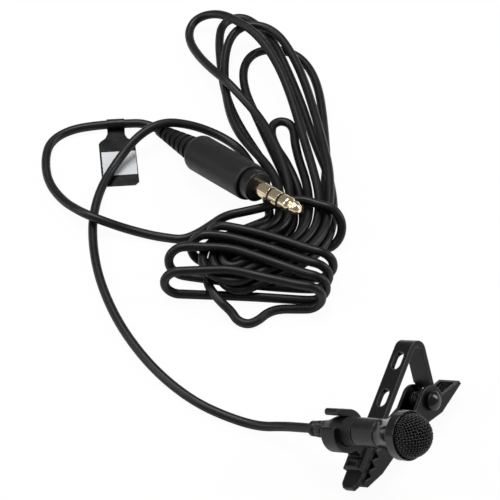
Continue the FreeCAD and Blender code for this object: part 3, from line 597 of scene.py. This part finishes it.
head = lathe("head_shell", [(11.0, 2.45), (11.0, 2.75)] + shoulder + flank + [
    (16.35, 4.95), (18.4, 4.95), (18.5, 4.87), (18.5, 4.74), (17.3, 4.74), (17.3, GRILLE_R),
    (16.9, GRILLE_R), (16.9, 3.4), (14.6, 3.4), (14.6, 2.45)], MIC, CLIP_TURN, ease=0.12, segments=128)
foam_r = GRILLE_R - 2 * (WIRE + WAVE) - 0.02
ball = [(GRILLE_X + foam_r * math.sin(t), foam_r * math.cos(t)) for t in np.linspace(0.0, math.pi / 2, 12)]
foam = lathe("foam_liner", [(18.2, 0.0), (18.2, foam_r)] + ball[:-1] + [(GRILLE_X + foam_r, 0.0)],
             MIC, CLIP_TURN, ease=0.1)
for piece, node in ((boot, "rear_boot"), (barrel, "barrel"), (head, "head_cup"), (foam, "grille_foam")):
    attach(piece, "mic")
    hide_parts(node)
print("shells of the microphone:", [len(p.data.polygons) for p in (boot, barrel, head, foam)])

# %% [markdown]
# ## The plug
# The plug is a 3.5 mm one with three contacts: tip, ring and sleeve, kept apart by two thin black bands.
# Its handle is a smooth barrel with a softly rounded back, and the strain relief behind it is a ribbed
# cone. Each of them is one outline for the lathe, and the pin's outlines are measured from the collar.

# %% The plug
BASE = 22.3
PIN_R, PIN_LENGTH = 1.75, 14.0
BAND_R = PIN_R - 0.03
BACK_LONG, BACK_R, BACK_RISE = 1.7, 2.95, 1.25
RIBS, RIB_X, RIB_STEP, RIB_R, RIB_RISE = 6, -12.9, 2.0, 1.45, 0.24


def pin_part(name, outline, ease):
    """One turned part of the pin, whose outline starts at the collar's front."""
    return lathe(name, [(BASE + x, r) for x, r in outline], PLUG_AT, PLUG_TURN, ease=ease)


back = [(BACK_LONG * (1 - math.cos(t)), BACK_R + BACK_RISE * math.sin(t))
        for t in np.linspace(0.15, math.pi / 2, 9)]
handle = lathe("handle_shell", [(-0.6, 2.0), (-0.6, 2.85), (-0.1, 2.95)] + back + [
    (18.9, 4.2), (19.35, 4.1), (19.5, 3.9), (19.5, 2.75), (6.0, 2.75), (6.0, 2.0)], PLUG_AT, PLUG_TURN,
    ease=0.3, segments=128)
collar = lathe("collar_shell", [
    (6.0, 1.5), (6.0, 2.75), (19.5, 2.75), (19.5, 3.45), (22.0, 3.45), (22.3, 3.2), (22.3, 1.5)],
    PLUG_AT, PLUG_TURN, ease=0.2)
relief = [(-RELIEF_BACK, 1.02), (-RELIEF_BACK, 1.35)]
for k in range(RIBS):
    x = RIB_X + RIB_STEP * k
    r = RIB_R + RIB_RISE * k
    relief += [(x, r), (x + 1.25, r + 0.14), (x + 1.25, r - 0.3), (x + 1.9, r - 0.26)]
relief += [(-0.8, 2.85), (-0.6, 2.88), (-0.6, 2.0), (3.0, 2.0), (3.0, 1.02)]
ribs = lathe("relief_shell", relief, PLUG_AT, PLUG_TURN, ease=0.22)
sleeve = pin_part("sleeve_contact", [
    (-4.0, 1.27), (-4.0, 1.5), (0.0, 1.5), (0.0, PIN_R), (4.6, PIN_R), (4.6, 1.27)], 0.06)
rear_band = pin_part("rear_band", [
    (-5.0, 0.97), (-5.0, 1.25), (4.6, 1.25), (4.6, BAND_R), (5.2, BAND_R), (5.2, 0.97)], 0.05)
ring = pin_part("ring_contact", [
    (-6.0, 0.72), (-6.0, 0.95), (5.2, 0.95), (5.2, PIN_R), (7.8, PIN_R), (7.8, 0.72)], 0.06)
front_band = pin_part("front_band", [
    (-7.0, 0.47), (-7.0, 0.7), (7.8, 0.7), (7.8, BAND_R), (8.4, BAND_R), (8.4, 0.47)], 0.05)
tip = pin_part("tip_contact", [
    (-8.0, 0.0), (-8.0, 0.45), (8.4, 0.45), (8.4, PIN_R), (10.6, PIN_R), (11.4, 1.15), (12.3, 1.6),
    (13.4, 1.2), (PIN_LENGTH, 0.5), (PIN_LENGTH, 0.0)], 0.25)
for piece, node in ((handle, "plug_handle"), (collar, "plug_collar"), (ribs, "plug_strain_relief"),
                    (sleeve, "plug_sleeve"), (rear_band, "plug_band_rear"), (ring, "plug_ring"),
                    (front_band, "plug_band_front"), (tip, "plug_tip")):
    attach(piece, "clip")
    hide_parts(node)
print("the plug is", round(PIN_LENGTH + BASE + RELIEF_BACK, 1), "mm long with its strain relief")

# %% [markdown]
# ## The spring
# A torsion spring of 0.4 mm wire is wound round the clip's pin, with one leg on the arm and one in the
# jaw. Its line is a helix with a straight leg at both ends, and it twists when the jaw opens.

# %% The spring
COIL_R, COILS, SPRING_R = 1.45, 4, 0.2
COIL_HALF, COIL_START, COIL_STEPS = 0.95, -62.0, 36
ARM_LEG, JAW_LEG = 2.6, 3.2


def swept(name, line, radius, reference, at, turned, sides=10):
    """A round tube along a line of points; its rings stand on cross(reference, direction)."""
    line = np.asarray(line, float)
    ahead = np.gradient(line, axis=0)
    ahead /= np.linalg.norm(ahead, axis=1, keepdims=True)
    one = np.cross(np.asarray(reference, float)[None], ahead)
    one /= np.linalg.norm(one, axis=1, keepdims=True)
    two = np.cross(ahead, one)
    b = np.arange(sides) * 2 * math.pi / sides
    section = np.cos(b)[:, None] * one[:, None] + np.sin(b)[:, None] * two[:, None]
    rings = line[:, None] + radius * section
    made = new_piece(name, place(rings.reshape(-1, 3), at, turned), tube_faces(1, len(line), sides))
    outwards(made)
    return made


a = np.radians(COIL_START + np.linspace(0.0, 360.0 * COILS, COIL_STEPS * COILS + 1))
coil = np.stack([np.linspace(-COIL_HALF, COIL_HALF, len(a)), COIL_R * np.sin(a), COIL_R * np.cos(a)], 1)
lead = coil[1] - coil[0]
lead[0] = 0.0
lead /= np.linalg.norm(lead)
leave = coil[-1] - coil[-2]
leave[0] = 0.0
leave /= np.linalg.norm(leave)
arm_leg = coil[0] - lead * np.linspace(ARM_LEG, 0.1, 10)[:, None]
jaw_leg = coil[-1] + leave * np.linspace(0.1, JAW_LEG, 10)[:, None]
wire_line = np.vstack([arm_leg, coil, jaw_leg])
spring = swept("spring_wire", wire_line, SPRING_R, (1.0, 0.0, 0.0), PIVOT, CLIP_TURN)
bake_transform(spring)
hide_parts("torsion_spring")
print("the spring has", COILS, "turns of", 2 * SPRING_R, "mm wire")

# %% [markdown]
# ## Finishes
# Nearly everything here is black, so the finishes differ by their gloss and by their grain, not by their
# colour. Each one starts from the same plain shader and adds what the real surface has: the fine
# sparkle of moulded plastic, the dull skin of the cord, the fine rings of turned metal.

# %% Tools for finishes
def finish_of(name, colour, roughness, metallic=0.0, specular=0.5):
    """A new material with these plain numbers on its shader."""
    made = bpy.data.materials.new(name)
    made.use_nodes = True
    shader = made.node_tree.nodes["Principled BSDF"]
    shader.inputs["Base Color"].default_value = (*colour, 1.0)
    shader.inputs["Roughness"].default_value = roughness
    shader.inputs["Metallic"].default_value = metallic
    shader.inputs["Specular IOR Level"].default_value = specular
    return made


def add(made, kind, **sockets):
    """A node of this kind in the material, with its inputs set or linked by name."""
    node = made.node_tree.nodes.new(kind)
    for key, value in sockets.items():
        socket = node.inputs[key.replace("_", " ")]
        if isinstance(value, bpy.types.NodeSocket):
            made.node_tree.links.new(value, socket)
        else:
            socket.default_value = value
    return node


def shader_of(made):
    """The material's main shader."""
    return made.node_tree.nodes["Principled BSDF"]


def where(made, stretch=(1.0, 1.0, 1.0), turned=None):
    """Object coordinates, if wanted stretched and turned into a local frame."""
    coordinate = made.node_tree.nodes.new("ShaderNodeTexCoord").outputs["Object"]
    if turned is None and stretch == (1.0, 1.0, 1.0):
        return coordinate
    first = add(made, "ShaderNodeMapping", Vector=coordinate)
    if turned is not None:
        first.inputs["Rotation"].default_value = Matrix(turned.T.tolist()).to_euler()
    second = add(made, "ShaderNodeMapping", Vector=first.outputs["Vector"])
    second.inputs["Scale"].default_value = stretch
    return second.outputs["Vector"]


def noise(made, grain, vector=None, detail=2.0):
    """Noise whose spots are about this many millimetres wide."""
    node = add(made, "ShaderNodeTexNoise", Scale=1.0 / (grain * MM), Detail=detail, Roughness=0.55,
               Vector=vector or where(made))
    return node.outputs["Fac"]


def spread(made, value, low, high, start=0.3, end=0.7):
    """A value between start and end becomes a number between low and high."""
    node = add(made, "ShaderNodeMapRange", Value=value)
    node.inputs["From Min"].default_value = start
    node.inputs["From Max"].default_value = end
    node.inputs["To Min"].default_value = low
    node.inputs["To Max"].default_value = high
    return node.outputs["Result"]


def rounded_edges(made, radius):
    """Light meets a sharp edge as if it were rounded by this many millimetres."""
    node = add(made, "ShaderNodeBevel", Radius=radius * MM)
    node.samples = 6
    return node.outputs["Normal"]


def relief_of(made, height, depth, normal=None, strength=1.0):
    """A bump of this depth in millimetres, on top of another normal if there is one."""
    node = add(made, "ShaderNodeBump", Height=height, Distance=depth * MM, Strength=strength)
    if normal is not None:
        made.node_tree.links.new(normal, node.inputs["Normal"])
    return node.outputs["Normal"]


def link(made, output, name):
    """Joins an output to a named socket of the main shader."""
    made.node_tree.links.new(output, shader_of(made).inputs[name])


def edge_share(made, rounded):
    """How near an edge is: 0 on a flat, rising where the rounded normal leaves the true one."""
    true = made.node_tree.nodes.new("ShaderNodeNewGeometry").outputs["Normal"]
    dot = made.node_tree.nodes.new("ShaderNodeVectorMath")
    dot.operation = "DOT_PRODUCT"
    made.node_tree.links.new(rounded, dot.inputs[0])
    made.node_tree.links.new(true, dot.inputs[1])
    return spread(made, dot.outputs["Value"], 1.0, 0.0, 0.9, 0.995)


def tint(made, share, dark, light):
    """Colour between dark and light by a share of 0 to 1."""
    node = made.node_tree.nodes.new("ShaderNodeMix")
    node.data_type = "RGBA"
    made.node_tree.links.new(share, node.inputs["Factor"])
    node.inputs[6].default_value = (*dark, 1.0)
    node.inputs[7].default_value = (*light, 1.0)
    return node.outputs[2]


# %% [markdown]
# ## Black plastics and the cord
# Moulded plastic has a fine matt grain from the mould and slightly uneven gloss, and its edges get a
# painted highlight: their colour is paler where the rounded normal leaves the true one. The cord's jacket
# is softer and smoother, with a broad sheen.

# %% Black plastics and the cord
CLOUD = 14
SMOOTHEST, ROUGHEST = 0.9, 1.12
# Lift of the painted edge highlight's colour above the plastic's own black.
HIGHLIGHT_LIFT = 0.004


def moulded(name, colour, gloss, grain, depth, edge=0.15, edge_highlight=1.8, specular=0.5):
    """Black plastic: grain of this size and depth, cloudy gloss, and a painted highlight that makes its
    edges paler.
    """
    made = finish_of(name, colour, gloss, specular=specular)
    rounded = rounded_edges(made, edge)
    fine = noise(made, grain, detail=3.0)
    cloud = noise(made, grain * CLOUD)
    link(made, spread(made, cloud, gloss * SMOOTHEST, gloss * ROUGHEST), "Roughness")
    share = edge_share(made, rounded)
    # The edges' paler colour is a painted highlight, in place of the light that a rounded edge catches.
    painted_highlight = tuple(min(1.0, c * edge_highlight + HIGHLIGHT_LIFT) for c in colour)
    link(made, tint(made, share, colour, painted_highlight), "Base Color")
    link(made, relief_of(made, fine, depth, rounded), "Normal")
    return made


# The clip's satin black gets the strongest painted edge highlight.
SATIN = moulded("satin_black", (0.004, 0.004, 0.0045), 0.32, 0.16, 0.004, edge=0.4, edge_highlight=14.0, specular=0.32)
SOFT = moulded("soft_black", (0.006, 0.006, 0.0065), 0.42, 0.12, 0.006, edge=0.12, specular=0.3)
TUBE = moulded("satin_tube", (0.008, 0.008, 0.0085), 0.3, 0.16, 0.003, edge=0.25, edge_highlight=4.0, specular=0.4)
LACQUER = moulded("lacquered_black", (0.006, 0.006, 0.007), 0.17, 0.3, 0.001, edge=0.15, edge_highlight=1.5)
GLOSS = moulded("glossy_black", (0.006, 0.006, 0.007), 0.14, 0.3, 0.001, edge=0.2, edge_highlight=1.5)
HANDLE = moulded("handle_black", (0.007, 0.007, 0.008), 0.44, 0.14, 0.010, edge=0.2, specular=0.35)
RELIEF = moulded("relief_black", (0.006, 0.006, 0.007), 0.48, 0.1, 0.010, edge=0.08, specular=0.25)

JACKET = finish_of("cord_jacket", (0.006, 0.006, 0.007), 0.4, specular=0.3)
jacket_fine = noise(JACKET, 0.22, detail=3.0)
jacket_cloud = noise(JACKET, 5.0)
link(JACKET, spread(JACKET, jacket_cloud, 0.34, 0.46), "Roughness")
link(JACKET, tint(JACKET, jacket_cloud, (0.004, 0.004, 0.005), (0.009, 0.009, 0.009)), "Base Color")
link(JACKET, relief_of(JACKET, jacket_fine, 0.012), "Normal")

# %% [markdown]
# ## Metals, foam, film and paper
# The plug's contacts are gold plated, with the very fine lines of a lathe round them. The spring and
# the grille's wire are blackened, so only their tops shine. The tag is black film and its label is bare
# pale paper.

# %% Metals, foam, film and paper
def turned_metal(name, colour, roughness, at, turned, lines=0.05, depth=0.0015):
    """Metal with fine rings from turning: the noise is stretched round the axis of its own frame."""
    made = finish_of(name, colour, roughness, metallic=1.0)
    vector = where(made, (1.0, 0.04, 0.04), turned)
    fine = noise(made, lines, vector)
    link(made, relief_of(made, fine, depth), "Normal")
    link(made, spread(made, noise(made, 0.8), roughness * 0.8, roughness * 1.3), "Roughness")
    return made


GOLD = turned_metal("gold_plate", (0.98, 0.82, 0.55), 0.15, PLUG_AT, PLUG_TURN)
SPRING = finish_of("blackened_spring", (0.010, 0.010, 0.011), 0.3)
link(SPRING, relief_of(SPRING, noise(SPRING, 0.08), 0.003), "Normal")
BRASS = turned_metal("tinned_brass", (0.55, 0.52, 0.46), 0.35, MIC, CLIP_TURN)

WIRES = finish_of("blackened_wire", (0.010, 0.010, 0.011), 0.28, specular=0.5)
wire_cloud = noise(WIRES, 0.6)
link(WIRES, spread(WIRES, wire_cloud, 0.22, 0.38), "Roughness")
link(WIRES, relief_of(WIRES, noise(WIRES, 0.05), 0.004), "Normal")

FOAM = finish_of("open_foam", (0.003, 0.003, 0.003), 0.95, specular=0.05)
cells = add(FOAM, "ShaderNodeTexVoronoi", Scale=1.0 / (0.35 * MM), Vector=where(FOAM))
hollows = cells.outputs["Distance"]
link(FOAM, relief_of(FOAM, hollows, 0.12), "Normal")
link(FOAM, tint(FOAM, hollows, (0.004, 0.004, 0.004), (0.001, 0.001, 0.001)), "Base Color")

FILM = finish_of("black_film", (0.005, 0.005, 0.006), 0.3, specular=0.3)
film_wave = noise(FILM, 3.5)
link(FILM, spread(FILM, film_wave, 0.24, 0.38), "Roughness")
link(FILM, relief_of(FILM, film_wave, 0.12, rounded_edges(FILM, 0.1)), "Normal")

PAPER = finish_of("bare_paper", (0.68, 0.70, 0.72), 0.55, specular=0.3)
fibre = noise(PAPER, 0.25, detail=4.0)
link(PAPER, tint(PAPER, fibre, (0.65, 0.67, 0.69), (0.71, 0.73, 0.75)), "Base Color")
link(PAPER, relief_of(PAPER, fibre, 0.006), "Normal")

BOARD = finish_of("circuit_board", (0.02, 0.09, 0.04), 0.4)
link(BOARD, tint(BOARD, noise(BOARD, 0.6), (0.015, 0.07, 0.03), (0.03, 0.12, 0.05)), "Base Color")
GASKET = moulded("rubber_gasket", (0.02, 0.02, 0.02), 0.7, 0.1, 0.01)

# %% [markdown]
# ## Who wears what
# A new piece gets its finish directly. A CAD node keeps its mesh and gets the finish in its material
# slots, so the solid and the render stay the same thing.

# %% Who wears what
def wear(piece, made):
    """Puts one material on a piece or a CAD node."""
    if not piece.material_slots:
        piece.data.materials.append(made)
    for slot in piece.material_slots:
        slot.material = made


for piece, made in (
        (cord, JACKET), (grille, WIRES), (foam, FOAM), (boot, SOFT), (barrel, TUBE), (head, LACQUER),
        (handle, HANDLE), (collar, TUBE), (ribs, RELIEF), (sleeve, GOLD), (ring, GOLD), (tip, GOLD),
        (rear_band, SOFT), (front_band, SOFT), (spring, SPRING)):
    wear(piece, made)
for name, made in (
        ("clip_arm", SATIN), ("holder", SATIN), ("rear_jaw", SATIN), ("pivot_pin", GLOSS),
        ("pin_cap", SATIN), ("cord_tail", JACKET), ("cord_crimp", BRASS), ("capsule_board", BOARD),
        ("capsule_can", BRASS), ("capsule_gasket", GASKET), ("grille_ring", LACQUER), ("cord_tag", FILM),
        ("tag_label", PAPER), ("plug_cord_end", JACKET)):
    wear(nodes[name], made)
missing = [n for n, o in nodes.items() if not o.hide_render and len(o.material_slots) == 0]
print("nodes without a finish:", missing)

# %% [markdown]
# ## The table and the light
# The photograph was taken on a white table under broad soft light, so the picture's white is the table's
# own white. The camera sees the table a little brighter than it lights the object, through the light
# path's camera ray, and the faint shadow stays. The world is told apart in the same way: white to the
# camera, and a faint fill for the object. Broad lamps above, on the left and on the right give the cord
# its long highlights.

# %% The table and the light
def white_ground(name, white, plain, share):
    """Matt white that the camera sees as this white by this share, and the rest as plain shading."""
    made = finish_of(name, (plain, plain, plain), 0.9, specular=0.0)
    tree = made.node_tree
    path = tree.nodes.new("ShaderNodeLightPath")
    shown = tree.nodes.new("ShaderNodeMath")
    shown.operation = "MULTIPLY"
    tree.links.new(path.outputs["Is Camera Ray"], shown.inputs[0])
    shown.inputs[1].default_value = share
    glow = tree.nodes.new("ShaderNodeEmission")
    glow.inputs["Color"].default_value = (white, white, white, 1.0)
    mix = tree.nodes.new("ShaderNodeMixShader")
    tree.links.new(shown.outputs[0], mix.inputs["Fac"])
    tree.links.new(shader_of(made).outputs[0], mix.inputs[1])
    tree.links.new(glow.outputs[0], mix.inputs[2])
    tree.links.new(mix.outputs[0], tree.nodes["Material Output"].inputs["Surface"])
    return made


floor = new_piece("table", [(-4, -4, 0), (4, -4, 0), (4, 4, 0), (-4, 4, 0)], [[0, 1, 2, 3]], smooth=False)
wear(floor, white_ground("white_table", 1.0, 0.88, share=0.95))

world = bpy.data.worlds.new("studio")
world.use_nodes = True
tree = world.node_tree
ground = tree.nodes["Background"]
ground.inputs["Color"].default_value = (1.0, 1.0, 1.0, 1.0)
ground.inputs["Strength"].default_value = 0.2
seen = tree.nodes.new("ShaderNodeBackground")
seen.inputs["Strength"].default_value = 1.0
path = tree.nodes.new("ShaderNodeLightPath")
mix = tree.nodes.new("ShaderNodeMixShader")
tree.links.new(path.outputs["Is Camera Ray"], mix.inputs["Fac"])
tree.links.new(ground.outputs[0], mix.inputs[1])
tree.links.new(seen.outputs[0], mix.inputs[2])
tree.links.new(mix.outputs[0], tree.nodes["World Output"].inputs["Surface"])
scene.world = world


def softbox(name, at, target, width, height, power):
    """A rectangular lamp at a place, turned towards a target, in metres and watts."""
    data = bpy.data.lights.new(name, "AREA")
    data.shape = "RECTANGLE"
    data.size, data.size_y = width, height
    data.energy = power
    made = bpy.data.objects.new(name, data)
    made.location = at
    made.rotation_euler = (Vector(target) - Vector(at)).to_track_quat("-Z", "Y").to_euler()
    scene.collection.objects.link(made)
    return made


middle = Vector(tuple(-TABLE * MM))
softbox("top_light", middle + Vector((-0.15, 0.25, 0.9)), middle, 0.6, 0.5, 6.5)
softbox("left_light", middle + Vector((-0.8, -0.1, 0.5)), middle, 0.4, 0.6, 2.6)
softbox("right_light", middle + Vector((0.8, 0.1, 0.45)), middle, 0.3, 0.6, 3.0)

# %% [markdown]
# ## The last line
# The dressed model has to fill the same box as the CAD model. The last line brings the view layer up to
# date.

# %% The last line
bpy.context.view_layer.update()
